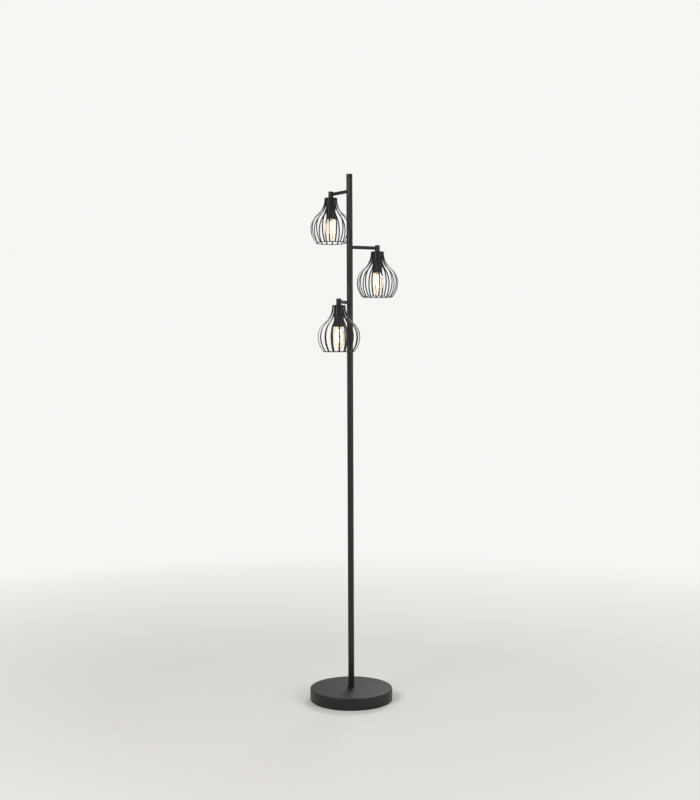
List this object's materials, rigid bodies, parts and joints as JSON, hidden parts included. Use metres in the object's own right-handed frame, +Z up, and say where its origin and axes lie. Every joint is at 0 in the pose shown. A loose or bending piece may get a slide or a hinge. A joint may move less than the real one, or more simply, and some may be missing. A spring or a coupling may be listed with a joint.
{
  "type": "floor lamp",
  "caption": "Floor lamp: round weighted base, slim straight pole, and short turning arms with onion-shaped cage shades hanging over candle bulbs.",
  "frame": {"origin": "middle of the base's underside, on the pole's axis", "axes": "+Z up along the pole; -Y towards the viewer of the picture; +X to the viewer's right"},
  "size_m": [0.2645, 0.2727, 1.55],
  "materials": {
    "black_paint": "satin powder coat",
    "zinc_steel": "zinc plated",
    "cement": "cast, rough",
    "pad_foam": "fine foam",
    "gland_rubber": "matte",
    "holder_plastic": "moulded, fine grain",
    "brass": "pressed sheet",
    "nickel": "nickel plated",
    "bulb_glass": "clear",
    "filament": "glowing"
  },
  "bodies": {
    "stand": {"base_pad": "pad_foam", "base_weight": "cement", "base_cover": "black_paint", "cable_gland": "gland_rubber", "base_washer": "zinc_steel", "base_nut": "zinc_steel", "base_nipple": "zinc_steel", "foot_collar": "black_paint", "lower_pole": "black_paint", "upper_pole": "black_paint", "pole_bushes": "zinc_steel", "pole_stud": "zinc_steel"},
    "lower_head": {"lower_section": "black_paint", "lower_arm": "black_paint", "lower_stud": "zinc_steel", "lower_knuckle": "black_paint", "lower_shade_nipple": "zinc_steel", "lower_cage_plate": "black_paint", "lower_cage_strips": "black_paint", "lower_cage_ring": "black_paint", "lower_holder_cap": "holder_plastic", "lower_holder_sleeve": "holder_plastic", "lower_thread_shell": "brass", "lower_contact": "brass", "lower_bush": "zinc_steel"},
    "lower_bulb": {"lower_bulb_cap": "nickel", "lower_bulb_glass": "bulb_glass", "lower_filament": "filament"},
    "middle_head": {"middle_section": "black_paint", "middle_arm": "black_paint", "middle_stud": "zinc_steel", "middle_knuckle": "black_paint", "middle_shade_nipple": "zinc_steel", "middle_cage_plate": "black_paint", "middle_cage_strips": "black_paint", "middle_cage_ring": "black_paint", "middle_holder_cap": "holder_plastic", "middle_holder_sleeve": "holder_plastic", "middle_thread_shell": "brass", "middle_contact": "brass", "middle_bush": "zinc_steel"},
    "middle_bulb": {"middle_bulb_cap": "nickel", "middle_bulb_glass": "bulb_glass", "middle_filament": "filament"},
    "upper_head": {"upper_section": "black_paint", "upper_arm": "black_paint", "upper_stud": "zinc_steel", "upper_knuckle": "black_paint", "upper_shade_nipple": "zinc_steel", "upper_cage_plate": "black_paint", "upper_cage_strips": "black_paint", "upper_cage_ring": "black_paint", "upper_holder_cap": "holder_plastic", "upper_holder_sleeve": "holder_plastic", "upper_thread_shell": "brass", "upper_contact": "brass", "top_cap": "black_paint"},
    "upper_bulb": {"upper_bulb_cap": "nickel", "upper_bulb_glass": "bulb_glass", "upper_filament": "filament"}
  },
  "joints": [
    {"name": "lower_head_turn", "type": "hinge", "parent": "stand", "child": "lower_head", "pos_m": [0, 0, 1.0634], "axis": [0, 0, 1], "range_deg": [-170, 170]},
    {"name": "lower_bulb_screw", "type": "hinge", "parent": "lower_head", "child": "lower_bulb", "pos_m": [-0.03154, -0.08216, 1.1164], "axis": [0, 0, 1], "range_deg": [-1260, 0]},
    {"name": "middle_head_turn", "type": "hinge", "parent": "lower_head", "child": "middle_head", "pos_m": [0, 0, 1.2256], "axis": [0, 0, 1], "range_deg": [-170, 170]},
    {"name": "middle_bulb_screw", "type": "hinge", "parent": "middle_head", "child": "middle_bulb", "pos_m": [0.08171, 0.03268, 1.2786], "axis": [0, 0, 1], "range_deg": [-1260, 0]},
    {"name": "upper_head_turn", "type": "hinge", "parent": "middle_head", "child": "upper_head", "pos_m": [0, 0, 1.3878], "axis": [0, 0, 1], "range_deg": [-170, 170]},
    {"name": "upper_bulb_screw", "type": "hinge", "parent": "upper_head", "child": "upper_bulb", "pos_m": [-0.05526, 0.06849, 1.4408], "axis": [0, 0, 1], "range_deg": [-1260, 0]}
  ]
}
